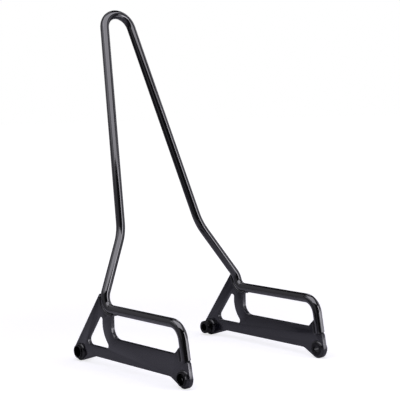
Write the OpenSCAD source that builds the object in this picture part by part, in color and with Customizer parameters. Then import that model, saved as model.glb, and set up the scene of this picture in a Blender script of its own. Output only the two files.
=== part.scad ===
// Sissy bar for a motorbike: one bent round bar between two flat side plates.
// +X is the bike's left, -Y its front and +Z up. The plates' ears stand on z = 0,
// x = 0 is the middle plane, and the origin is below the middle of the length.

/* [Bar] */
// Diameter of the solid round bar
bar_d = 12.7; // [10:0.1:15]
// Height of the hoop's top above the ears' lowest points
overall_h = 494; // [420:1:600]
// Distance between the middles of the two side plates
track = 241; // [215:1:270]
// Backward lean of the hoop from upright, in degrees
hoop_lean = 17.2; // [12:0.1:22]
// How much the bar's radius swells in a bend
bend_swell = 0.02; // [0.01:0.01:0.03]
// Centreline radius of the bend at the top
top_bend_r = 24.4; // [20:0.1:30]
// Distance up the hoop from the rail's axis to the knee
knee_rise = 101.7; // [85:0.1:125]
// Centreline radius of the two knee bends
knee_bend_r = 77; // [40:1:100]
// Sideways angle of the legs below the knee, in degrees
splay_angle = 30.4; // [25:0.1:34]
// Centreline radius of the bend that starts the splay
splay_bend_r = 21.3; // [20:0.1:30]
// Centreline radius of the bend between leg and rail
base_bend_r = 15; // [11:0.5:16]
// Straight length between those two bends
bend_gap = 0.5; // [0.4:0.1:3]
// Height of the rail's axis above the ears' lowest points
rail_h = 81.8; // [76:0.1:90]
// Distance of the hoop's foot behind the front hole, along the rail's axis
hoop_foot = 165.3; // [159:0.1:171]
// Forward lean of the front leg, in degrees
front_lean = 10; // [7:0.5:13]
// Centreline radius of the front corner
front_bend_r = 22; // [18:0.5:26]
// How far the bar's end is let into the plate below the window's edge
bar_seat = 5.8; // [4:0.1:9]

/* [Side plates] */
// Thickness of the side plates
plate_t = 6.35; // [4:0.05:8]
// Distance between the two mounting holes of a plate
hole_spacing = 230.5; // [222:0.5:240]
// Outer radius of the ears round the holes
ear_r = 13; // [12.2:0.1:15]
// Height of the straight lower edge above the ears' lowest points
belly_h = 11.7; // [9:0.1:12.5]
// Distance behind the front hole where the lower edge starts to drop to the front ear
toe_in = 26.5; // [23:0.5:32]
// Distance before the rear hole where the lower edge starts to drop to the rear ear
heel_in = 38.5; // [32:0.5:44]
// Radius where the lower edge turns down to an ear
belly_fillet = 12; // [6:1:18]
// Height of the strip between the lower edge and the window
strip_h = 30.5; // [26:0.5:34]
// Slope of the rear arm's outer edge from level, in degrees
arm_slope = 52.5; // [51:0.1:54]
// Radius of the rear arm's tip
arm_tip_r = 1; // [0.5:0.1:3]
// Distance of the window's rear edge behind the front hole
window_rear = 153.7; // [150:0.1:156]
// Radius of the window's lower rear corner
window_r = 15.5; // [10:0.5:19]
// Radius of the window's upper rear corner
window_top_r = 5; // [3:0.5:7]
// Size of the slant across the window's lower front corner
window_slant = 13; // [9:0.5:15]
// Height of the slant that cuts the plate's front corner back below the bar's end
seat_slant_h = 4; // [1:0.5:6]
// Depth of that slant
seat_slant_in = 2.2; // [0.5:0.1:3.5]

/* [Three-cornered opening] */
// Height of its lower edge above the plate's lower edge
tri_low = 14.2; // [12:0.1:18]
// Height of its upper edge above the plate's lower edge
tri_high = 57.4; // [53:0.1:59]
// Width of the arm behind it, square to the arm's edge
arm_w = 15.5; // [13:0.1:18]
// Width of the rib between the window's rear edge and the opening
rib_w = 20.1; // [17:0.1:22]
// Radius of its bowed front edge
tri_front_r = 39.6; // [37:0.1:48]
// Height of the front edge's foremost point above the plate's lower edge
tri_front_h = 50; // [45:0.5:53]
// Radius of its lower rear corner
tri_rear_r = 7; // [4:0.5:9]
// Radius of its lower front corner
tri_toe_r = 5; // [3:0.5:6]
// Radius of its upper corners
tri_r = 3; // [2:0.5:4]

/* [Mounting bushes] */
// Outer diameter of the bushes
bush_d = 19; // [17:0.1:19.5]
// Diameter of the bolt hole through a bush
bolt_hole_d = 10.3; // [8:0.1:11]
// Diameter of the recess for the bolt's head
recess_d = 14.8; // [13:0.1:15.5]
// Depth of the recess for the bolt's head
recess_depth = 9.5; // [6:0.1:11]
// Length of a bush that stands out of the plate's outer face
bush_out = 4.4; // [4:0.1:9]
// Length of a rear bush that stands out of the plate's inner face
rear_bush_in = 12; // [8:0.1:20]
// Length of a front bush that stands out of the plate's inner face
front_bush_in = 2.8; // [2.5:0.1:12]
// Width of the small bevels on a bush's ends
bush_bevel = 0.5; // [0.2:0.1:0.8]
// Gap all round between a bush and its hole in the plate
bush_gap = 0.1; // [0.05:0.01:0.2]
// Gap between the bar and the plate's edges before welding
fit_gap = 0.06; // [0.04:0.01:0.2]

/* [Welds] */
// Leg length of the fillet weld round a bush
ring_weld = 2.4; // [1.5:0.1:2.6]
// Radius of the weld bead between bar and plate
bead_r = 2.4; // [1.8:0.1:2.8]
// How far the bead's middle lies off the plate's face
bead_off = 0.6; // [0.3:0.1:1]

/* [Hidden] */
$fn = 64;

gloss_black = [0.05, 0.05, 0.06];
plate_black = [0.17, 0.17, 0.19];
weld_black = [0.12, 0.12, 0.13];

bar_r = bar_d / 2;
half_track = track / 2;
half_t = plate_t / 2;
bent_r = bar_r + bend_swell;
seat_r = bar_r + fit_gap;
lap = 0.1;
nick = 0.004;

// Plane of the hoop: u runs sideways, v up the hoop from the rail's axis
base_turn = 90 - hoop_lean;
base_tangent = base_bend_r * tan(base_turn / 2);
splay_tangent = splay_bend_r * tan(splay_angle / 2);
splay_v = base_tangent + bend_gap + splay_tangent;
knee_u = half_track - (knee_rise - splay_v) * tan(splay_angle);
apex_v = (overall_h - bar_r - rail_h) / cos(hoop_lean);
top_centre_v = apex_v - top_bend_r;
knee_to_centre = norm([knee_u, top_centre_v - knee_rise]);
upper_angle = atan2(knee_u, top_centre_v - knee_rise) - asin(top_bend_r / knee_to_centre);
top_half_turn = 90 - upper_angle;
knee_turn = splay_angle - upper_angle;
knee_tangent = knee_bend_r * tan(knee_turn / 2);
upper_len = sqrt(knee_to_centre ^ 2 - top_bend_r ^ 2) - knee_tangent;
lower_len = (knee_rise - splay_v) / cos(splay_angle) - knee_tangent - splay_tangent;

// Plane of a side frame: s runs backwards from the front hole, z up from the ears' lowest points
hole_z = ear_r;
front_hole = [0, hole_z];
rear_hole = [hole_spacing, hole_z];
strip_z = belly_h + strip_h;
rail_low = rail_h - seat_r;
leg_dir = [-sin(front_lean), -cos(front_lean)];
leg_out = [-cos(front_lean), sin(front_lean)];
front_turn = 90 - front_lean;
front_tangent = front_bend_r * tan(front_turn / 2);
leg_offset = ear_r - bar_r;
front_corner = [((rail_h - hole_z) * sin(front_lean) - leg_offset) / cos(front_lean), rail_h];
leg_len = (rail_h - strip_z + bar_seat) / cos(front_lean);
leg_end = front_corner + leg_dir * leg_len;
rail_len = hoop_foot - base_tangent - front_corner.x - front_tangent;
hoop_corner = [hoop_foot, rail_h];
upright_dir = [sin(hoop_lean), cos(hoop_lean)];
upright_back = [cos(hoop_lean), -sin(hoop_lean)];
base_centre = [hoop_foot - base_tangent, rail_h + base_bend_r];

// The part's middle lies at y = 0
rear_reach = hoop_foot + apex_v * sin(hoop_lean) + bar_r;
front_reach = -ear_r;
middle_s = (rear_reach + front_reach) / 2;

// Rear arm
arm_dir = [-cos(arm_slope), sin(arm_slope)];
arm_out = [sin(arm_slope), cos(arm_slope)];
arm_foot = rear_hole + arm_out * ear_r;
upright_edge = hoop_corner + upright_back * seat_r;
arm_tip = meet(arm_foot, arm_dir, upright_edge, upright_dir);

// Lower edge and the lines that run down from it to the ears
toe = [toe_in, belly_h];
heel = [hole_spacing - heel_in, belly_h];
toe_dir = unit(touch(toe, front_hole, ear_r, -1) - toe);
heel_dir = unit(touch(heel, rear_hole, ear_r, 1) - heel);
front_edge = front_hole + leg_out * ear_r;
front_low = meet(toe, toe_dir, front_edge, leg_dir);
rear_low = meet(heel, heel_dir, arm_foot, arm_dir);

// Window, and the seat for the bar's end before it
seat_front = leg_end + leg_out * bar_r;
seat_rear = leg_end - leg_out * seat_r + leg_dir * fit_gap;
leg_side = leg_end - leg_out * seat_r;
slant_foot = [meet(leg_side, leg_dir, [0, strip_z], [1, 0]).x + window_slant, strip_z];
slant_top = meet(leg_side, leg_dir, slant_foot, [-1, 1]);
window_corner = [window_rear, strip_z];
window_top = [window_rear, rail_low];

// Three-cornered opening
rib_centre = [window_rear + rib_w - tri_front_r, belly_h + tri_front_h];
arm_inner = arm_foot - arm_out * arm_w;
tri_low_z = belly_h + tri_low;
tri_high_z = belly_h + tri_high;
tri_low_front = [rib_centre.x, tri_low_z];
tri_high_front = [rib_centre.x, tri_high_z];
tri_low_rear = meet(arm_inner, arm_dir, tri_low_front, [1, 0]);
tri_high_rear = meet(arm_inner, arm_dir, tri_high_front, [1, 0]);

function unit(v) = v / norm(v);

// Point where the line through p along a meets the line through q along b
function meet(p, a, q, b) = p + a * (cross(q - p, b) / cross(a, b));

// Point where a line from p touches a circle, on the side given by the sign
function touch(p, centre, r, side) =
  let (
    gap = norm(p - centre),
    to_p = atan2(p.y - centre.y, p.x - centre.x),
    angle = to_p + side * acos(r / gap)
  )
  centre + r * [cos(angle), sin(angle)];

// What is cut off an outer corner b, between its neighbours a and c, to round it;
// the circle reaches past its tangent points by nick
module corner_wedge(a, b, c, r) {
  half = acos(unit(a - b) * unit(c - b)) / 2;
  cut = r / tan(half);
  centre = b + unit(unit(a - b) + unit(c - b)) * r / sin(half);
  difference() {
    polygon([b + unit(a - b) * cut, b + (b - centre) * 0.3, b + unit(c - b) * cut]);
    translate(centre) circle(r + nick);
  }
}

// The same where the level line z = level meets a circle, right of the circle's middle
module rib_wedge(level, up, r) {
  centre_z = level + up * r;
  centre = [rib_centre.x + sqrt((tri_front_r + r) ^ 2 - (centre_z - rib_centre.y) ^ 2), centre_z];
  corner = [rib_centre.x + sqrt(tri_front_r ^ 2 - (level - rib_centre.y) ^ 2), level];
  on_rib = rib_centre + unit(centre - rib_centre) * tri_front_r;
  difference() {
    polygon([[centre.x, level], corner + (corner - centre) * 0.3, on_rib]);
    translate(centre) circle(r + nick);
  }
}

// Moves a drawing of u and v into the hoop's plane
module in_hoop_plane() {
  translate([0, hoop_foot - middle_s, rail_h]) rotate([90 - hoop_lean, 0, 0]) children();
}

// Moves a drawing of s and z into the middle plane of the left plate, with +X as its third axis
module in_side_plane() {
  translate([half_track, -middle_s, 0]) rotate([90, 0, 90]) children();
}

module right() {
  mirror([1, 0, 0]) children();
}

// Swaps a run along +Z and a bend about +Z that lies on the run's +X side
module swap_to_bend(radius) {
  multmatrix([[-1, 0, 0, radius], [0, 0, 1, 0], [0, 1, 0, 0], [0, 0, 0, 1]]) children();
}

// Sweeps up +Z along steps of [straight length, turn about it, bend radius, bend angle]:
// the first child is the section of the straight runs, the second that of the bends
module sweep(steps, i = 0) {
  length = steps[i][0];
  radius = steps[i][2];
  angle = steps[i][3];
  translate([0, 0, -lap]) linear_extrude(length + lap + (angle > 0 ? lap : 0)) children(0);
  if (angle > 0)
    translate([0, 0, length]) rotate([0, 0, steps[i][1]]) swap_to_bend(radius) {
      rotate_extrude(angle = angle) translate([radius, 0]) mirror([1, 0]) children(1);
      rotate([0, 0, angle]) swap_to_bend(radius) sweep(steps, i + 1) {
        children(0);
        children(1);
      }
    }
}

// Half of the hoop with one side frame, from the top bend's end to the leg's end
module half_bar() {
  rotate([0, 0, top_half_turn]) swap_to_bend(top_bend_r)
    sweep([
      [upper_len, 180, knee_bend_r, knee_turn],
      [lower_len, 180, splay_bend_r, splay_angle],
      [bend_gap, -90, base_bend_r, base_turn],
      [rail_len, 180, front_bend_r, front_turn],
      [leg_len - front_tangent, 0, 0, 0]
    ]) {
      circle(bar_r);
      circle(bent_r);
    }
}

module hoop_bar() {
  color(gloss_black)
    in_hoop_plane() translate([0, top_centre_v]) rotate([180, 0, 90]) {
      rotate([0, 0, -top_half_turn])
        rotate_extrude(angle = 2 * top_half_turn) translate([top_bend_r, 0]) circle(bent_r);
      half_bar();
      mirror([0, 1, 0]) half_bar();
    }
}

module belly_cut() {
  difference() {
    polygon([
      toe, heel, heel + heel_dir * hole_spacing * 0.4,
      [hole_spacing / 2, -hole_spacing / 4], toe + toe_dir * hole_spacing / 4
    ]);
    corner_wedge(toe + toe_dir, toe, heel, belly_fillet);
    corner_wedge(toe, heel, heel + heel_dir, belly_fillet);
  }
}

module window_cut() {
  before = slant_top + [-bar_d, bar_d] * 0.7;
  inside = [window_rear / 2, rail_low];
  difference() {
    polygon([slant_foot, window_corner, window_top, inside, [before.x, rail_low], before]);
    corner_wedge(slant_foot, window_corner, window_top, window_r);
    corner_wedge(window_corner, window_top, inside, window_top_r);
  }
}

module three_cornered_cut() {
  difference() {
    polygon([tri_low_front, tri_low_rear, tri_high_rear, tri_high_front]);
    translate(rib_centre) circle(tri_front_r);
    corner_wedge(tri_low_front, tri_low_rear, tri_high_rear, tri_rear_r);
    corner_wedge(tri_low_rear, tri_high_rear, tri_high_front, tri_r);
    rib_wedge(tri_low_z, 1, tri_toe_r);
    rib_wedge(tri_high_z, -1, tri_r);
  }
}

module plate_outline() {
  difference() {
    polygon([
      front_low + leg_dir * ear_r * 0.3, seat_front + leg_dir * (fit_gap + seat_slant_h),
      seat_front + leg_dir * fit_gap - leg_out * seat_slant_in, seat_rear, slant_top - leg_dir * bar_r,
      [window_rear - window_r, rail_low], [base_centre.x, rail_low], base_centre,
      base_centre + upright_back * (base_bend_r + seat_r), arm_tip, rear_low - arm_dir * ear_r * 0.3
    ]);
    belly_cut();
    window_cut();
    three_cornered_cut();
    translate(base_centre) circle(base_bend_r + seat_r + nick);
    corner_wedge(toe, front_low, front_edge, ear_r);
    corner_wedge(heel, rear_low, arm_foot, ear_r);
    corner_wedge(arm_foot, arm_tip, upright_edge, arm_tip_r);
    translate(front_hole) circle(bush_d / 2 + bush_gap);
    translate(rear_hole) circle(bush_d / 2 + bush_gap);
  }
}

module side_plate() {
  color(plate_black) in_side_plane() translate([0, 0, -half_t]) linear_extrude(plate_t) plate_outline();
}

// Turned bush with the bolt head's recess in its outer end
module bush(hole, stands_in) {
  outer_end = half_t + bush_out;
  inner_end = -half_t - stands_in;
  bush_r = bush_d / 2;
  hole_r = bolt_hole_d / 2;
  color(gloss_black)
    in_side_plane() translate(hole)
      rotate_extrude()
        polygon([
          [hole_r, inner_end], [bush_r - bush_bevel, inner_end], [bush_r, inner_end + bush_bevel],
          [bush_r, outer_end - bush_bevel], [bush_r - bush_bevel, outer_end],
          [recess_d / 2, outer_end], [recess_d / 2, outer_end - recess_depth],
          [hole_r, outer_end - recess_depth]
        ]);
}

// Hollow-faced fillet weld round a bush, on the outer (1) or inner (-1) face
module bush_weld(hole, face) {
  off = ring_weld * 1.6;
  hollow_r = norm([off, off - ring_weld]);
  color(weld_black)
    in_side_plane() translate(hole)
      mirror([0, 0, face < 0 ? 1 : 0]) translate([0, 0, half_t])
        rotate_extrude() translate([bush_d / 2, 0])
          difference() {
            square(ring_weld);
            translate([off, off]) circle(hollow_r);
          }
}

// Starts a run at p of the side plane, heading along the plane, with +X on its left
module run_from(p, heading) {
  multmatrix([
    [-heading.y, 0, heading.x, p.x],
    [heading.x, 0, heading.y, p.y],
    [0, 1, 0, 0],
    [0, 0, 0, 1]
  ])
    children();
}

// Section of the bead between the bar, round the origin, and the plate on its -X side
module bead_section(face, ease) {
  difference() {
    translate([-bar_r - bead_off / 2, face * (half_t + bead_off)]) circle(bead_r - ease);
    circle(bent_r + ease);
    translate([-bar_d * 2 - seat_r, -half_t - ease]) square([bar_d * 2 + ease, plate_t + 2 * ease]);
  }
}

// Round end of such a bead
module bead_end(face) {
  ease = 2 * bend_swell;
  difference() {
    translate([-bar_r - bead_off / 2, face * (half_t + bead_off), 0]) sphere(bead_r - ease);
    translate([0, 0, -bar_d]) cylinder(h = bar_d * 2, r = bent_r + ease);
    translate([-bar_d * 2 - seat_r, -half_t - ease, -bar_d])
      cube([bar_d * 2 + ease, plate_t + 2 * ease, bar_d * 2]);
  }
}

// Weld along the rail's underside, round the base bend and up to the arm's tip
module arm_weld(face) {
  start_s = window_rear - window_top_r / 2;
  first_len = base_centre.x - start_s;
  bend_end = base_centre + upright_back * base_bend_r;
  second_len = norm(arm_tip - bend_end - upright_back * seat_r) - arm_tip_r * 2 - bead_r * 1.4;
  color(weld_black)
    in_side_plane() {
      run_from([start_s, rail_h], [1, 0]) {
        bead_end(face);
        sweep([[first_len, 0, base_bend_r, base_turn], [second_len, 0, 0, 0]]) {
          bead_section(face, bend_swell);
          bead_section(face, 0);
        }
      }
      run_from(bend_end + upright_dir * second_len, upright_dir) bead_end(face);
    }
}

// Weld down the inner side of the front leg and across the bar's end
module leg_weld(face) {
  side_len = norm(slant_top - leg_side) - bead_r * 1.6;
  overlap = bar_r + bead_off / 2 + bead_r * 0.9;
  across = overlap + bar_r - bead_r / 2 - seat_slant_in;
  color(weld_black)
    in_side_plane() {
      run_from(leg_end - leg_dir * side_len, leg_dir) mirror([1, 0, 0]) {
        bead_end(face);
        linear_extrude(side_len) bead_section(face, bend_swell);
      }
      run_from(leg_end, leg_out) {
        difference() {
          translate([bead_off / 2, face * (half_t + bead_off), -overlap]) cylinder(h = across, r = bead_r);
          translate([-bar_d, -bar_d, -bar_r]) cube([bar_d, bar_d * 2, bar_d * 2]);
          translate([-bar_d, -half_t, -bar_d * 2]) cube([bar_d * 2, plate_t, bar_d * 4]);
        }
      }
    }
}

hoop_bar();
right() side_plate();  // right_plate
side_plate();  // left_plate
right() bush(front_hole, front_bush_in);  // right_front_bush
right() bush(rear_hole, rear_bush_in);  // right_rear_bush
bush(front_hole, front_bush_in);  // left_front_bush
bush(rear_hole, rear_bush_in);  // left_rear_bush
right() bush_weld(front_hole, 1);  // right_front_bush_outer_weld
right() bush_weld(front_hole, -1);  // right_front_bush_inner_weld
right() bush_weld(rear_hole, 1);  // right_rear_bush_outer_weld
right() bush_weld(rear_hole, -1);  // right_rear_bush_inner_weld
bush_weld(front_hole, 1);  // left_front_bush_outer_weld
bush_weld(front_hole, -1);  // left_front_bush_inner_weld
bush_weld(rear_hole, 1);  // left_rear_bush_outer_weld
bush_weld(rear_hole, -1);  // left_rear_bush_inner_weld
right() arm_weld(1);  // right_arm_outer_weld
right() arm_weld(-1);  // right_arm_inner_weld
arm_weld(1);  // left_arm_outer_weld
arm_weld(-1);  // left_arm_inner_weld
right() leg_weld(1);  // right_leg_outer_weld
right() leg_weld(-1);  // right_leg_inner_weld
leg_weld(1);  // left_leg_outer_weld
leg_weld(-1);  // left_leg_inner_weld
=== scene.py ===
"""Looks of a powder-coated sissy bar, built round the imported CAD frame.

Lengths are in metres and angles in degrees. The bike's front is towards -Y, its left side towards +X.
"""

import logging
import math
from dataclasses import dataclass
from enum import Enum

import bmesh
import bpy
from mathutils import Matrix, Vector


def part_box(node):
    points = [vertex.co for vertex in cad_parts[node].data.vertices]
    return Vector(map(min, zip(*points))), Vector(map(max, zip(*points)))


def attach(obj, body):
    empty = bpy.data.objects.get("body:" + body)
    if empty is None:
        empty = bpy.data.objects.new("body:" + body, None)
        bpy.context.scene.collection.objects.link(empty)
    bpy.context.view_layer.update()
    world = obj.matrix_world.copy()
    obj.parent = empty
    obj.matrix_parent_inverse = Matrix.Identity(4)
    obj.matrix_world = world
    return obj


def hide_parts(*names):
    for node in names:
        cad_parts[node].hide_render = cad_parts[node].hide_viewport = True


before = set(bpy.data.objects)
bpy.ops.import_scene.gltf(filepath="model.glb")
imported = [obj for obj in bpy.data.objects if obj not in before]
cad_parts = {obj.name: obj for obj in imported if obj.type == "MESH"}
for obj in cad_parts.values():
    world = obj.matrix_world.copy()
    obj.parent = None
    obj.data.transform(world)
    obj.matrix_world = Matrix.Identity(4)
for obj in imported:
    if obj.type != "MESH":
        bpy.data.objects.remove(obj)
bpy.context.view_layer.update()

MM = 0.001
ALONG_X = Vector((1, 0, 0))
WHITE = (1, 1, 1, 1)

Place = tuple[float, float]
Path = tuple[Place, Place, Place]
Span = tuple[float, float]
Point = tuple[float, float, float]
Colour = tuple[float, float, float]

log = logging.getLogger("sissy_bar")


class Side(Enum):
    """The two sides of the bike, with the sign of x on each."""

    LEFT = 1
    RIGHT = -1

    @property
    def word(self) -> str:
        """The side's name as the CAD nodes spell it."""
        return self.name.lower()


class Face(Enum):
    """The two faces of a side plate, with their direction away from the plate's middle."""

    OUTER = 1
    INNER = -1

    @property
    def word(self) -> str:
        """The face's name as the CAD nodes spell it."""
        return self.name.lower()


class End(Enum):
    """The two ends of a side plate."""

    FRONT = "front"
    REAR = "rear"


class Seam(Enum):
    """The two seams where a side plate is welded to the bar."""

    ARM = "arm"
    LEG = "leg"


@dataclass(frozen=True)
class Mottle:
    """An even, cloudy pattern over a surface.

    Attributes:
        width: About how wide its clouds are.
        detail: How many finer layers lie over them.
    """

    width: float
    detail: float

    def socket(self, tree: bpy.types.NodeTree, place: bpy.types.NodeSocket) -> bpy.types.NodeSocket:
        """Adds the pattern to a material.

        Args:
            tree: The material's node tree.
            place: The coordinates that the pattern reads.

        Returns:
            The pattern's value, from 0 to 1.
        """
        noise = tree.nodes.new("ShaderNodeTexNoise")
        noise.inputs["Scale"].default_value = 1 / self.width
        noise.inputs["Detail"].default_value = self.detail
        tree.links.new(place, noise.inputs["Vector"])
        return noise.outputs["Fac"]


@dataclass(frozen=True)
class PowderCoat:
    """A powder-coat finish: baked-on black under a clear film, with a faint orange peel.

    Attributes:
        name: The material's name.
        slot: The record's slot for this finish; it is not used.
        colour: The black's middle colour.
        roughness: Its middle roughness.
        wander: How far the roughness drifts to either side.
        ior: Its refractive index.
        clear: How much clear film lies on it, from 0 to 1.
        clear_roughness: The film's roughness.
        peel: The pattern of the film's dimples.
        peel_height: How high the dimples stand.
        clouds: The pattern in which the colour drifts.
        cloud_depth: How far it drifts to either side, as a share of the colour.
        patches: The pattern in which the roughness drifts.
    """

    name: str
    slot: str
    colour: Colour
    roughness: float
    wander: float
    ior: float
    clear: float
    clear_roughness: float
    peel: Mottle
    peel_height: float
    clouds: Mottle = Mottle(35 * MM, 2)
    cloud_depth: float = 0.25
    patches: Mottle = Mottle(12 * MM, 3)

    def material(self) -> bpy.types.Material:
        """Makes the finish as a node material on Object coordinates.

        Returns:
            The material, ready for a piece's slot.
        """
        made = bpy.data.materials.new(self.name)
        made.use_nodes = True
        tree = made.node_tree
        shader = tree.nodes["Principled BSDF"]
        shader.inputs["IOR"].default_value = self.ior
        shader.inputs["Coat Weight"].default_value = self.clear
        shader.inputs["Coat Roughness"].default_value = self.clear_roughness
        place = tree.nodes.new("ShaderNodeTexCoord").outputs["Object"]
        self._cloud_the_colour(tree, place, shader)
        self._wander_the_roughness(tree, place, shader)
        self._raise_the_peel(tree, place, shader)
        return made

    def _cloud_the_colour(
        self, tree: bpy.types.NodeTree, place: bpy.types.NodeSocket, shader: bpy.types.ShaderNode
    ) -> None:
        """Lets the black drift a little, as pigment does in a thick and a thin film.

        Args:
            tree: The material's node tree.
            place: The coordinates that the pattern reads.
            shader: The finish's shader.
        """
        thin, thick = 1 - self.cloud_depth, 1 + self.cloud_depth
        blend = tree.nodes.new("ShaderNodeMix")
        blend.data_type = "RGBA"
        blend.inputs["A"].default_value = (*(part * thin for part in self.colour), 1)
        blend.inputs["B"].default_value = (*(part * thick for part in self.colour), 1)
        tree.links.new(self.clouds.socket(tree, place), blend.inputs["Factor"])
        tree.links.new(blend.outputs["Result"], shader.inputs["Base Color"])

    def _wander_the_roughness(
        self, tree: bpy.types.NodeTree, place: bpy.types.NodeSocket, shader: bpy.types.ShaderNode
    ) -> None:
        """Lets the gloss drift over the surface.

        Args:
            tree: The material's node tree.
            place: The coordinates that the pattern reads.
            shader: The finish's shader.
        """
        span = tree.nodes.new("ShaderNodeMapRange")
        span.inputs["To Min"].default_value = self.roughness - self.wander
        span.inputs["To Max"].default_value = self.roughness + self.wander
        tree.links.new(self.patches.socket(tree, place), span.inputs["Value"])
        tree.links.new(span.outputs["Result"], shader.inputs["Roughness"])

    def _raise_the_peel(
        self, tree: bpy.types.NodeTree, place: bpy.types.NodeSocket, shader: bpy.types.ShaderNode
    ) -> None:
        """Raises the faint dimples of the baked film.

        Args:
            tree: The material's node tree.
            place: The coordinates that the pattern reads.
            shader: The finish's shader.
        """
        bump = tree.nodes.new("ShaderNodeBump")
        bump.inputs["Strength"].default_value = 1
        bump.inputs["Distance"].default_value = self.peel_height
        tree.links.new(self.peel.socket(tree, place), bump.inputs["Height"])
        tree.links.new(bump.outputs["Normal"], shader.inputs["Normal"])


BAR_COAT = PowderCoat(
    name="bar_gloss_black",
    slot="bar_coat",
    colour=(0.0015, 0.0015, 0.0019),
    roughness=0.08,
    wander=0.02,
    ior=1.6,
    clear=1,
    clear_roughness=0.05,
    peel=Mottle(1.6 * MM, 1),
    peel_height=0.004 * MM,
)
PLATE_COAT = PowderCoat(
    name="plate_black",
    slot="plate_coat",
    colour=(0.004, 0.004, 0.0075),
    roughness=0.24,
    wander=0.03,
    ior=1.6,
    clear=0.5,
    clear_roughness=0.14,
    peel=Mottle(1.4 * MM, 1),
    peel_height=0.005 * MM,
)
BUSH_COAT = PowderCoat(
    name="bush_black",
    slot="bush_coat",
    colour=(0.001, 0.001, 0.001),
    roughness=0.13,
    wander=0.03,
    ior=1.36,
    clear=0,
    clear_roughness=0.1,
    peel=Mottle(1.2 * MM, 1),
    peel_height=0.004 * MM,
)
WELD_COAT = PowderCoat(
    name="weld_black",
    slot="weld_coat",
    colour=(0.002, 0.002, 0.003),
    roughness=0.1,
    wander=0.03,
    ior=1.6,
    clear=0.3,
    clear_roughness=0.06,
    peel=Mottle(1.2 * MM, 1),
    peel_height=0.006 * MM,
)


def material_of(coat: PowderCoat) -> bpy.types.Material:
    """The material of a finish, made the first time it is asked for."""
    return bpy.data.materials.get(coat.name) or coat.material()


def spin_about_x(section: list[Place], middle: Vector, turns: int) -> bmesh.types.BMesh:
    """Spins a closed section about a line along X.

    Args:
        section: The section's corners in order, each as its distance from the line and its x.
        middle: A point of the line.
        turns: How many steps the full turn has.

    Returns:
        The new shape.
    """
    shape = bmesh.new()
    corners = [shape.verts.new((x, middle.y, middle.z + radius)) for radius, x in section]
    outline = [shape.edges.new(pair) for pair in zip(corners, corners[1:] + corners[:1])]
    bmesh.ops.spin(
        shape, geom=corners + outline, cent=middle, axis=ALONG_X, angle=math.tau,
        steps=turns, use_merge=True,
    )
    return shape


def round_rims(shape: bmesh.types.BMesh, sharp_over: float, offset: float, steps: int) -> None:
    """Rounds the rims of a shape, and leaves the facet lines of its curved walls.

    Args:
        shape: The shape.
        sharp_over: An edge that bends more than this is a rim.
        offset: How far from the rim the round starts.
        steps: How many strips of faces the round has.
    """
    rims = [
        edge for edge in shape.edges
        if len(edge.link_faces) == 2 and math.degrees(edge.calc_face_angle(0)) > sharp_over
    ]
    bmesh.ops.bevel(
        shape, geom=rims, offset=offset, segments=steps,
        affect="EDGES", profile=0.5, material=-1, clamp_overlap=False,
    )


def stand_in(
    shape: bmesh.types.BMesh, node: str, coat: PowderCoat, smooth_below: float
) -> bpy.types.Object:
    """Turns a shape into the finished piece that stands for a CAD node.

    Args:
        shape: The shape, in the object's frame. It is freed.
        node: The CAD node that the piece replaces.
        coat: The piece's finish.
        smooth_below: An edge that bends less than this is shaded smooth.

    Returns:
        The piece, which rides on the object.
    """
    bmesh.ops.recalc_face_normals(shape, faces=shape.faces)
    name = f"{node}_coated"
    data = bpy.data.meshes.new(name)
    shape.to_mesh(data)
    shape.free()
    data.shade_smooth()
    data.set_sharp_from_angle(angle=math.radians(smooth_below))
    data.materials.append(material_of(coat))
    piece = bpy.data.objects.new(name, data)
    bpy.context.scene.collection.objects.link(piece)
    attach(piece, "root")
    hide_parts(node)
    log.info("%s: %d faces", name, len(data.polygons))
    return piece


@dataclass
class HoopBar:
    """The single bent bar, whose CAD solid is dressed as it is.

    Attributes:
        node: The bar's CAD node.
    """

    node: str = "hoop_bar"

    def build(self) -> None:
        """Puts the bar's finish on its CAD node."""
        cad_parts[self.node].material_slots[0].material = material_of(BAR_COAT)
        log.info("%s: dressed", self.node)


@dataclass
class SidePlate:
    """One laser-cut side plate, with the small round that the coat leaves on every edge.

    Attributes:
        side: The plate's side of the bike.
        edge_round: How far from an edge its round starts.
        round_steps: How many strips of faces the round has.
        sharp_over: An edge that bends more than this is a rim.
        weld_together: CAD vertices that are closer than this are one.
        flat_within: Facets that bend less than this are one face.
    """

    side: Side
    edge_round: float = 0.45 * MM
    round_steps: int = 3
    sharp_over: float = 30
    weld_together: float = 0.002 * MM
    flat_within: float = 0.5

    @property
    def node(self) -> str:
        """The CAD node that this plate stands for."""
        return f"{self.side.word}_plate"

    def build(self) -> bpy.types.Object:
        """Copies the CAD plate, rounds its edges and dresses it.

        Returns:
            The plate's visible piece.
        """
        shape = bmesh.new()
        shape.from_mesh(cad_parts[self.node].data)
        bmesh.ops.remove_doubles(shape, verts=shape.verts, dist=self.weld_together)
        bmesh.ops.dissolve_limit(
            shape, angle_limit=math.radians(self.flat_within), verts=shape.verts,
            edges=shape.edges, delimit={"NORMAL"},
        )
        round_rims(shape, self.sharp_over, self.edge_round, self.round_steps)
        return stand_in(shape, self.node, PLATE_COAT, self.sharp_over)


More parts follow.
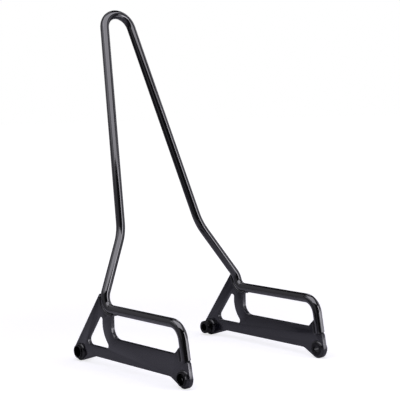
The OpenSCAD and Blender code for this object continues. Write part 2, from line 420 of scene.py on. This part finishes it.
@dataclass
class TurnedBush:
    """One turned bush through an ear, with a recess for the bolt's head.

    Attributes:
        side: The bush's side of the bike.
        end: The plate's end that it is in.
        bolt_hole: Diameter of the bolt's hole.
        recess: Diameter of the recess.
        recess_depth: How deep the recess is.
        edge_round: How far from a rim its round starts.
        round_steps: How many strips of faces the round has.
        sharp_over: An edge that bends more than this is a rim.
        smooth_below: An edge that bends less than this is shaded smooth.
        turns: How many faces go round the bush.
    """

    side: Side
    end: End
    bolt_hole: float = 10.3 * MM
    recess: float = 14.8 * MM
    recess_depth: float = 9.5 * MM
    edge_round: float = 0.5 * MM
    round_steps: int = 3
    sharp_over: float = 45
    smooth_below: float = 35
    turns: int = 96

    @property
    def node(self) -> str:
        """The CAD node that this bush stands for."""
        return f"{self.side.word}_{self.end.value}_bush"

    def build(self) -> bpy.types.Object:
        """Spins the bush's section about its axis and rounds its rims.

        Returns:
            The bush's visible piece.
        """
        low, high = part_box(self.node)
        shape = spin_about_x(self._section(low, high), (low + high) / 2, self.turns)
        round_rims(shape, self.sharp_over, self.edge_round, self.round_steps)
        return stand_in(shape, self.node, BUSH_COAT, self.smooth_below)

    def _section(self, low: Vector, high: Vector) -> list[Place]:
        """Draws the bush's section: a sleeve with a wider recess in its outer end.

        Args:
            low: The lowest corner of the CAD node's box.
            high: Its highest corner.

        Returns:
            The section's corners, each as its distance from the axis and its x.
        """
        inner_end, outer_end = sorted((low.x, high.x), key=abs)
        recess_floor = outer_end - self.side.value * self.recess_depth
        hole_r = self.bolt_hole / 2
        recess_r = self.recess / 2
        outer_r = (high.z - low.z) / 2
        return [
            (hole_r, inner_end),
            (outer_r, inner_end),
            (outer_r, outer_end),
            (recess_r, outer_end),
            (recess_r, recess_floor),
            (hole_r, recess_floor),
        ]


@dataclass
class RingWeld:
    """One fillet weld round a bush, with the ripples that the torch leaves.

    Attributes:
        side: The weld's side of the bike.
        end: The plate's end that it is at.
        face: The plate's face that it is on.
        bush_r: Radius of the bush.
        leg: How far the weld reaches along the plate and along the bush.
        crown: How far its face stands proud of a straight slope.
        sunk: How far it reaches into the plate and the bush.
        ripple_height: How high a ripple stands.
        ripples: How many ripples go round.
        wander: How far the ripples' spacing drifts, in radians of a ripple.
        wander_waves: How often it drifts there and back in a turn.
        ripple_rise: Share of the leg over which the ripples rise from the weld's toes.
        turns: How many faces go round the weld.
        face_points: How many points its face has from toe to toe.
        smooth_below: An edge that bends less than this is shaded smooth.
    """

    side: Side
    end: End
    face: Face
    bush_r: float = 9.5 * MM
    leg: float = 2.4 * MM
    crown: float = 0.35 * MM
    sunk: float = 0.1 * MM
    ripple_height: float = 0.09 * MM
    ripples: int = 44
    wander: float = 0.9
    wander_waves: int = 3
    ripple_rise: float = 0.25
    turns: int = 384
    face_points: int = 7
    smooth_below: float = 60

    @property
    def node(self) -> str:
        """The CAD node that this weld stands for."""
        return f"{self.side.word}_{self.end.value}_bush_{self.face.word}_weld"

    def build(self) -> bpy.types.Object:
        """Spins the weld's section round the bush and raises its ripples.

        Returns:
            The weld's visible piece.
        """
        low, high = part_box(self.node)
        middle = (low + high) / 2
        outward = self.side.value * self.face.value
        plate_x = low.x if outward > 0 else high.x
        section = [(radius, plate_x + outward * height) for radius, height in self._section()]
        shape = spin_about_x(section, middle, self.turns)
        for vert in shape.verts:
            self._ripple(vert, middle, plate_x, outward)
        return stand_in(shape, self.node, WELD_COAT, self.smooth_below)

    def _section(self) -> list[Place]:
        """Draws the weld's section: two legs and the crowned face between their toes.

        Returns:
            The section's corners, each as its distance from the axis and its height on the plate.
        """
        section = [(self.bush_r - self.sunk, -self.sunk), (self.bush_r + self.leg, -self.sunk)]
        for k in range(self.face_points):
            along = k / (self.face_points - 1)
            rise = self.crown * math.sin(math.pi * along) / math.sqrt(2)
            section.append((self.bush_r + self.leg * (1 - along) + rise, self.leg * along + rise))
        section.append((self.bush_r - self.sunk, self.leg))
        return section

    def _ripple(self, vert: bmesh.types.BMVert, middle: Vector, plate_x: float, outward: int) -> None:
        """Raises a vertex of the weld's face by the ripple that passes there.

        Args:
            vert: The vertex.
            middle: A point of the bush's axis.
            plate_x: Where the plate's face is.
            outward: The sign of x away from the plate.
        """
        spoke = Vector((0, vert.co.y - middle.y, vert.co.z - middle.z))
        reach = spoke.length
        height = (vert.co.x - plate_x) * outward
        share = min(reach - self.bush_r, height) / self.leg
        if share <= 0:
            return
        angle = math.atan2(spoke.z, spoke.y)
        drift = self.wander * math.sin(self.wander_waves * angle)
        crest = abs(math.cos(self.ripples / 2 * angle + drift))
        lift = self.ripple_height * crest * min(1, share / self.ripple_rise)
        vert.co += (spoke / reach + ALONG_X * outward) * lift / math.sqrt(2)


@dataclass
class BeadWeld:
    """A weld bead between the bar and a plate, laid along a path in the plate's plane.

    Attributes:
        side: The bead's side of the bike.
        face: The plate's face that it is on.
        seam: The seam that it closes.
        corners: Start, corner and end of its path, each as (y, z).
        turn_radius: Radius of the path's turn at the corner.
        middle_x: Distance of the plate's middle plane from the bike's.
        off_middle: Distance of the bead's path from the plate's middle plane.
        bead_r: Radius of the bead.
        ripple_depth: How deep the hollow between two ripples is.
        ripple_pitch: Length of a ripple.
        wander: How far the ripples' spacing drifts, in radians of a ripple.
        wander_pitch: Length over which it drifts there and back.
        step: Length between two rings of the bead's mesh.
        around: How many faces go round the bead.
        tip: Radius of its very end, as a share of the bead's.
        smooth_below: An edge that bends less than this is shaded smooth.
    """

    side: Side
    face: Face
    seam: Seam
    corners: Path
    turn_radius: float
    middle_x: float = 120.5 * MM
    off_middle: float = 3.775 * MM
    bead_r: float = 2.4 * MM
    ripple_depth: float = 0.09 * MM
    ripple_pitch: float = 1.5 * MM
    wander: float = 0.9
    wander_pitch: float = 13 * MM
    step: float = 0.19 * MM
    around: int = 20
    tip: float = 0.02
    smooth_below: float = 70

    @property
    def node(self) -> str:
        """The CAD node that this bead stands for."""
        return f"{self.side.word}_{self.seam.value}_{self.face.word}_weld"

    def build(self) -> bpy.types.Object:
        """Sweeps the bead along its path with rounded ends and ripples.

        Returns:
            The bead's visible piece.
        """
        first, *others = [self._ring(*station) for station in self._stations()]
        shape = bmesh.new()
        bmesh.ops.create_circle(shape, cap_ends=True, segments=self.around, radius=1, matrix=first)
        rim = list(shape.edges)
        previous = first
        for following in others:
            grown = bmesh.ops.extrude_edge_only(shape, edges=rim)["geom"]
            verts = [part for part in grown if isinstance(part, bmesh.types.BMVert)]
            bmesh.ops.transform(shape, matrix=following @ previous.inverted(), verts=verts)
            fresh = set(verts)
            rim = [
                part for part in grown
                if isinstance(part, bmesh.types.BMEdge) and all(vert in fresh for vert in part.verts)
            ]
            previous = following
        bmesh.ops.holes_fill(shape, edges=rim, sides=0)
        return stand_in(shape, self.node, WELD_COAT, self.smooth_below)

    def _ring(self, place: Vector, heading: Vector, radius: float) -> Matrix:
        """Finds how a unit circle lies across the path.

        Args:
            place: A point of the path.
            heading: The path's direction there.
            radius: The bead's radius there.

        Returns:
            The matrix that moves, turns and scales the circle.
        """
        upright = heading.cross(ALONG_X)
        turn = Matrix((ALONG_X * radius, upright * radius, heading * radius)).transposed()
        return Matrix.Translation(place) @ turn.to_4x4()

    def _stations(self) -> list[tuple[Vector, Vector, float]]:
        """Walks the path: a straight, a turn and another straight.

        Returns:
            Each station's place, heading and radius.
        """
        x = self.side.value * (self.middle_x + self.face.value * self.off_middle)
        first, corner, last = (Vector((x, y, z)) for y, z in self.corners)
        into = (corner - first).normalized()
        out = (last - corner).normalized()
        bend = into.angle(out)
        cut = self.turn_radius * math.tan(bend / 2)
        run = (corner - first).length - cut
        arc = self.turn_radius * bend
        tail = (last - corner).length - cut
        inwards = (out - into * into.dot(out)).normalized()
        whole = run + arc + tail
        count = round(whole / self.step)
        stations = []
        for k in range(count + 1):
            gone = whole * k / count
            turned = min(max(gone - run, 0), arc) / self.turn_radius
            heading = into * math.cos(turned) + inwards * math.sin(turned)
            place = first + into * min(gone, run) + out * max(0, gone - run - arc)
            place += (into * math.sin(turned) + inwards * (1 - math.cos(turned))) * self.turn_radius
            stations.append((place, heading, self._radius(gone, whole)))
        return stations

    def _radius(self, gone: float, whole: float) -> float:
        """Finds the bead's radius at a distance along it.

        Args:
            gone: Distance from the start.
            whole: The path's length.

        Returns:
            The radius, smaller in the ripples' hollows and at the round ends.
        """
        short = max(0, self.bead_r - min(gone, whole - gone))
        blunt = math.sqrt(max(self.tip ** 2, 1 - (short / self.bead_r) ** 2))
        drift = self.wander * math.sin(math.tau * gone / self.wander_pitch)
        hollow = self.ripple_depth * (1 - abs(math.cos(math.pi * gone / self.ripple_pitch + drift)))
        return (self.bead_r - hollow) * blunt


@dataclass
class WeldSet:
    """All welds of one plate: rings round the bushes, and beads along the bar.

    Attributes:
        side: The plate's side of the bike.
        bend_centre: Centre of the bar's base bend, as (y, z).
        bend_radius: Radius of the arm bead's turn under that bend.
        hoop_lean: How far the hoop's leg leans back.
        arm_start: Where the arm bead starts under the rail, as y.
        arm_tail: How far it runs on behind the hoop's leg.
        leg_end: Middle of the front leg's end, as (y, z).
        leg_lean: How far the front leg leans.
        leg_offset: Distance of the leg bead from the leg's middle line.
        leg_run: How far the bead runs down the leg.
        leg_drop: How far below the leg's end it turns.
        leg_across: How far it runs on past the leg's middle line.
        leg_turn: Radius of its turn.
    """

    side: Side
    bend_centre: Place = (12.099 * MM, 96.8 * MM)
    bend_radius: float = 21.65 * MM
    hoop_lean: float = 17.2
    arm_start: float = 6.7 * MM
    arm_tail: float = 9.38 * MM
    leg_end: Place = (-144.771 * MM, 36.4 * MM)
    leg_lean: float = 10
    leg_offset: float = 6.65 * MM
    leg_run: float = 16.76 * MM
    leg_drop: float = 0.3 * MM
    leg_across: float = 2.95 * MM
    leg_turn: float = 1.2 * MM

    def build(self) -> None:
        """Lays every weld of the side."""
        for face in Face:
            for end in End:
                RingWeld(self.side, end, face).build()
            BeadWeld(self.side, face, Seam.ARM, self._arm_corners(), self.bend_radius).build()
            BeadWeld(self.side, face, Seam.LEG, self._leg_corners(), self.leg_turn).build()

    def _arm_corners(self) -> Path:
        """Finds the path of the bead under the rail's end and up behind the hoop's leg.

        Returns:
            Start, corner and end of the path.
        """
        lean = math.radians(self.hoop_lean)
        up = Vector((math.sin(lean), math.cos(lean)))
        centre = Vector(self.bend_centre)
        level = centre.y - self.bend_radius
        reach = self.bend_radius * math.tan((math.pi / 2 - lean) / 2)
        corner = Vector((centre.x + reach, level))
        return (self.arm_start, level), tuple(corner), tuple(corner + up * (reach + self.arm_tail))

    def _leg_corners(self) -> Path:
        """Finds the path of the bead down the front leg's rear side and across under its end.

        Returns:
            Start, corner and end of the path.
        """
        lean = math.radians(self.leg_lean)
        down = Vector((-math.sin(lean), -math.cos(lean)))
        ahead = Vector((-math.cos(lean), math.sin(lean)))
        corner = Vector(self.leg_end) - ahead * self.leg_offset + down * self.leg_drop
        start = corner - down * (self.leg_run + self.leg_drop)
        finish = corner + ahead * (self.leg_offset + self.leg_across)
        return tuple(start), tuple(corner), tuple(finish)


def math_node(
    tree: bpy.types.NodeTree,
    operation: str,
    first: bpy.types.NodeSocket | float,
    second: bpy.types.NodeSocket | float | None = None,
) -> bpy.types.NodeSocket:
    """Adds a math node.

    Args:
        tree: The node tree.
        operation: The node's operation.
        first: A socket or a number.
        second: A socket or a number, where the operation has two.

    Returns:
        The node's result.
    """
    node = tree.nodes.new("ShaderNodeMath")
    node.operation = operation
    for socket, value in zip(node.inputs, (first, second)):
        if isinstance(value, bpy.types.NodeSocket):
            tree.links.new(value, socket)
        elif value is not None:
            socket.default_value = value
    return node.outputs[0]


def smooth_range(
    tree: bpy.types.NodeTree, value: bpy.types.NodeSocket, span: Span, result: Span
) -> bpy.types.NodeSocket:
    """Adds a smooth step from one number to another.

    Args:
        tree: The node tree.
        value: The socket that the step reads.
        span: Where on that value the step starts and ends.
        result: The numbers before and after it.

    Returns:
        The step's result.
    """
    start, end = span
    before, after = result
    node = tree.nodes.new("ShaderNodeMapRange")
    node.interpolation_type = "SMOOTHSTEP"
    node.inputs["From Min"].default_value = start
    node.inputs["From Max"].default_value = end
    node.inputs["To Min"].default_value = before
    node.inputs["To Max"].default_value = after
    tree.links.new(value, node.inputs["Value"])
    return node.outputs["Result"]


@dataclass(frozen=True)
class Panel:
    """A soft-edged light panel, so far away that only its direction counts.

    Attributes:
        bearing: Direction of its middle, from the front (-Y) towards +X.
        elevation: Height of its middle over the horizon.
        half_width: Half its width.
        half_height: Half its height.
        edge: Half the width of its soft edge.
        radiance: How bright it is, where a white card in plain daylight is 1.
    """

    bearing: float
    elevation: float
    half_width: float
    half_height: float
    edge: float
    radiance: float

    def socket(
        self, tree: bpy.types.NodeTree, bearing: bpy.types.NodeSocket, elevation: bpy.types.NodeSocket
    ) -> bpy.types.NodeSocket:
        """Adds the panel to a world's node tree.

        Args:
            tree: The node tree.
            bearing: Bearing of the direction that is looked up, in radians.
            elevation: Its elevation, in radians.

        Returns:
            The panel's radiance in that direction.
        """
        across = self._fade(tree, bearing, self.bearing, self.half_width)
        upward = self._fade(tree, elevation, self.elevation, self.half_height)
        return math_node(tree, "MULTIPLY", math_node(tree, "MULTIPLY", across, upward), self.radiance)

    def _fade(
        self, tree: bpy.types.NodeTree, angle: bpy.types.NodeSocket, centre: float, half: float
    ) -> bpy.types.NodeSocket:
        """Adds a mask that is 1 near a centre angle and fades to 0 past a half-width.

        Args:
            tree: The node tree.
            angle: The direction's angle, in radians.
            centre: The mask's middle.
            half: Its half-width.

        Returns:
            The mask's value.
        """
        apart = math_node(tree, "ABSOLUTE", math_node(tree, "SUBTRACT", angle, math.radians(centre)))
        span = (math.radians(half - self.edge), math.radians(half + self.edge))
        return smooth_range(tree, apart, span, (1, 0))


@dataclass(frozen=True)
class Softbox:
    """A flat rectangular lamp close by, which looks at the object.

    Attributes:
        name: The lamp's name.
        bearing: Its direction from the object, from the front (-Y) towards +X.
        elevation: Its direction over the horizon.
        distance: How far it is from the point that it looks at.
        width: Its width.
        height: Its height.
        radiance: How bright it is, where a white card in plain daylight is 1.
        colour: The colour of its light.
    """

    name: str
    bearing: float
    elevation: float
    distance: float
    width: float
    height: float
    radiance: float
    colour: Colour = (0.99, 0.97, 1.06)

    def build(self, aim: Vector) -> None:
        """Hangs the lamp, unseen by the camera.

        Args:
            aim: The point that the lamp looks at.
        """
        bearing, elevation = math.radians(self.bearing), math.radians(self.elevation)
        out = Vector((math.sin(bearing), -math.cos(bearing), 0)) * math.cos(elevation)
        out.z = math.sin(elevation)
        data = bpy.data.lights.new(self.name, "AREA")
        data.shape = "RECTANGLE"
        data.size = self.width
        data.size_y = self.height
        data.color = self.colour
        # A matt lamp gives off pi times its radiance from each square metre.
        data.energy = self.radiance * math.pi * self.width * self.height
        lamp = bpy.data.objects.new(self.name, data)
        turn = out.to_track_quat("Z", "Y").to_matrix().to_4x4()
        lamp.matrix_world = Matrix.Translation(aim + out * self.distance) @ turn
        lamp.visible_camera = False
        bpy.context.scene.collection.objects.link(lamp)
        log.info("lamp %s", self.name)


PANELS = (
    Panel(bearing=-130, elevation=0, half_width=70, half_height=45, edge=6, radiance=0.27),
    Panel(bearing=75, elevation=18, half_width=30, half_height=25, edge=15, radiance=0.5),
)
LAMPS = (
    Softbox("overhead", -31.3, 69.6, distance=0.61, width=0.98, height=0.74, radiance=2.3),
    Softbox("right_wide", 26, 5.1, distance=1.65, width=0.66, height=1.6, radiance=1.5),
    Softbox("right_core", 22, 14, distance=1.6, width=0.26, height=0.9, radiance=4.5),
    Softbox("low_card", 36, -19, distance=0.56, width=0.6, height=0.15, radiance=1.7),
    Softbox("left_fill", -111, 40, distance=0.71, width=0.46, height=0.46, radiance=0.8),
    Softbox("back_right", 121, 28, distance=1.4, width=0.3, height=1.0, radiance=0.9),
    Softbox("back_high", 180, 64, distance=1.0, width=0.6, height=0.3, radiance=0.6),
)


@dataclass
class Studio:
    """Floor, light and camera round the object.

    Attributes:
        camera_place: Where the camera stands.
        camera_bearing: Where it looks, from the back (+Y) towards +X.
        camera_drop: How far it looks down.
        camera_roll: How far it is tilted anticlockwise, seen from behind it.
        focal_pixels: Its focal length, in pixels of the frame.
        frame_pixels: The frame's width, in pixels.
        sensor: The sensor's width, in millimetres.
        floor_radius: Radius of the floor.
        floor_sides: How many sides the floor has.
        floor_colour: The floor's matt colour.
        glow: How much brighter the camera sees the floor, near the object and far from it.
        glow_spread: The distances where that change starts and ends.
        aim: The point that the lamps look at.
        dim: Radiance of the room where it has no panel.
        room_colour: The room's colour.
    """

    camera_place: Point = (-1.10502, -1.36007, 0.39896)
    camera_bearing: float = 39.843
    camera_drop: float = 5.767
    camera_roll: float = -1.394
    focal_pixels: float = 1255.18
    frame_pixels: float = 400
    sensor: float = 36
    floor_radius: float = 9
    floor_sides: int = 64
    floor_colour: Colour = (0.46, 0.455, 0.505)
    glow: Span = (0.7, 1.0)
    glow_spread: Span = (0.2, 1.1)
    aim: Point = (0, 0, 0.25)
    dim: float = 0.03
    room_colour: Colour = (0.98, 0.96, 1.08)

    def build(self) -> None:
        """Makes the camera, the floor and the light."""
        self._camera()
        self._floor()
        self._world()
        for lamp in LAMPS:
            lamp.build(Vector(self.aim))

    def _camera(self) -> None:
        """Stands the camera where the photograph was taken from."""
        bearing, drop = math.radians(self.camera_bearing), math.radians(self.camera_drop)
        ahead = Vector((
            math.sin(bearing) * math.cos(drop),
            math.cos(bearing) * math.cos(drop),
            -math.sin(drop),
        ))
        level = ahead.cross(Vector((0, 0, 1))).normalized()
        above = level.cross(ahead)
        roll = math.radians(self.camera_roll)
        right = level * math.cos(roll) + above * math.sin(roll)
        up = right.cross(ahead)
        turn = Matrix((right, up, -ahead)).transposed()
        data = bpy.data.cameras.new("camera")
        data.sensor_width = self.sensor
        data.lens = self.sensor * self.focal_pixels / self.frame_pixels
        camera = bpy.data.objects.new("camera", data)
        camera.matrix_world = Matrix.Translation(self.camera_place) @ turn.to_4x4()
        bpy.context.scene.collection.objects.link(camera)
        bpy.context.scene.camera = camera

    def _floor(self) -> None:
        """Lays a pale floor that keeps the object's shadow."""
        shape = bmesh.new()
        bmesh.ops.create_circle(
            shape, cap_ends=True, segments=self.floor_sides, radius=self.floor_radius
        )
        data = bpy.data.meshes.new("floor")
        shape.to_mesh(data)
        shape.free()
        floor = bpy.data.objects.new("floor", data)
        bpy.context.scene.collection.objects.link(floor)
        data.materials.append(self._floor_material())

    def _floor_material(self) -> bpy.types.Material:
        """Makes the pale matt floor, which the camera sees a little brighter than the object does.

        Returns:
            The floor's material.
        """
        made = bpy.data.materials.new("floor")
        made.use_nodes = True
        tree = made.node_tree
        tree.nodes.clear()
        matt = tree.nodes.new("ShaderNodeBsdfDiffuse")
        matt.inputs["Color"].default_value = (*self.floor_colour, 1)
        glow = tree.nodes.new("ShaderNodeEmission")
        glow.inputs["Color"].default_value = WHITE
        away = tree.nodes.new("ShaderNodeVectorMath")
        away.operation = "LENGTH"
        tree.links.new(tree.nodes.new("ShaderNodeTexCoord").outputs["Object"], away.inputs[0])
        rise = smooth_range(tree, away.outputs["Value"], self.glow_spread, self.glow)
        seen = tree.nodes.new("ShaderNodeLightPath").outputs["Is Camera Ray"]
        tree.links.new(math_node(tree, "MULTIPLY", seen, rise), glow.inputs["Strength"])
        both = tree.nodes.new("ShaderNodeAddShader")
        tree.links.new(matt.outputs[0], both.inputs[0])
        tree.links.new(glow.outputs[0], both.inputs[1])
        out = tree.nodes.new("ShaderNodeOutputMaterial")
        tree.links.new(both.outputs[0], out.inputs["Surface"])
        return made

    def _world(self) -> None:
        """Lights the object with the studio's panels, before a white backdrop."""
        world = bpy.data.worlds.new("studio")
        bpy.context.scene.world = world
        world.use_nodes = True
        tree = world.node_tree
        tree.nodes.clear()
        room = tree.nodes.new("ShaderNodeBackground")
        room.inputs["Color"].default_value = (*self.room_colour, 1)
        tree.links.new(self._room_light(tree), room.inputs["Strength"])
        backdrop = tree.nodes.new("ShaderNodeBackground")
        backdrop.inputs["Color"].default_value = WHITE
        seen = tree.nodes.new("ShaderNodeLightPath").outputs["Is Camera Ray"]
        choice = tree.nodes.new("ShaderNodeMixShader")
        tree.links.new(seen, choice.inputs["Fac"])
        tree.links.new(room.outputs[0], choice.inputs[1])
        tree.links.new(backdrop.outputs[0], choice.inputs[2])
        out = tree.nodes.new("ShaderNodeOutputWorld")
        tree.links.new(choice.outputs[0], out.inputs["Surface"])

    def _room_light(self, tree: bpy.types.NodeTree) -> bpy.types.NodeSocket:
        """Adds the radiance that reaches the object from each direction of the room.

        Args:
            tree: The world's node tree.

        Returns:
            The brightest panel's radiance there, or the room's own.
        """
        split = tree.nodes.new("ShaderNodeSeparateXYZ")
        tree.links.new(tree.nodes.new("ShaderNodeTexCoord").outputs["Generated"], split.inputs[0])
        front = math_node(tree, "MULTIPLY", split.outputs["Y"], -1)
        bearing = math_node(tree, "ARCTAN2", split.outputs["X"], front)
        elevation = math_node(tree, "ARCSINE", split.outputs["Z"])
        light = self.dim
        for panel in PANELS:
            light = math_node(tree, "MAXIMUM", panel.socket(tree, bearing, elevation), light)
        return light


def main() -> None:
    """Builds the studio and every piece, and reports each."""
    logging.basicConfig(level=logging.INFO)
    bpy.context.scene.view_settings.view_transform = "Standard"
    Studio().build()
    HoopBar().build()
    for side in Side:
        SidePlate(side).build()
        for end in End:
            TurnedBush(side, end).build()
        WeldSet(side).build()


if __name__ == "__main__":
    main()
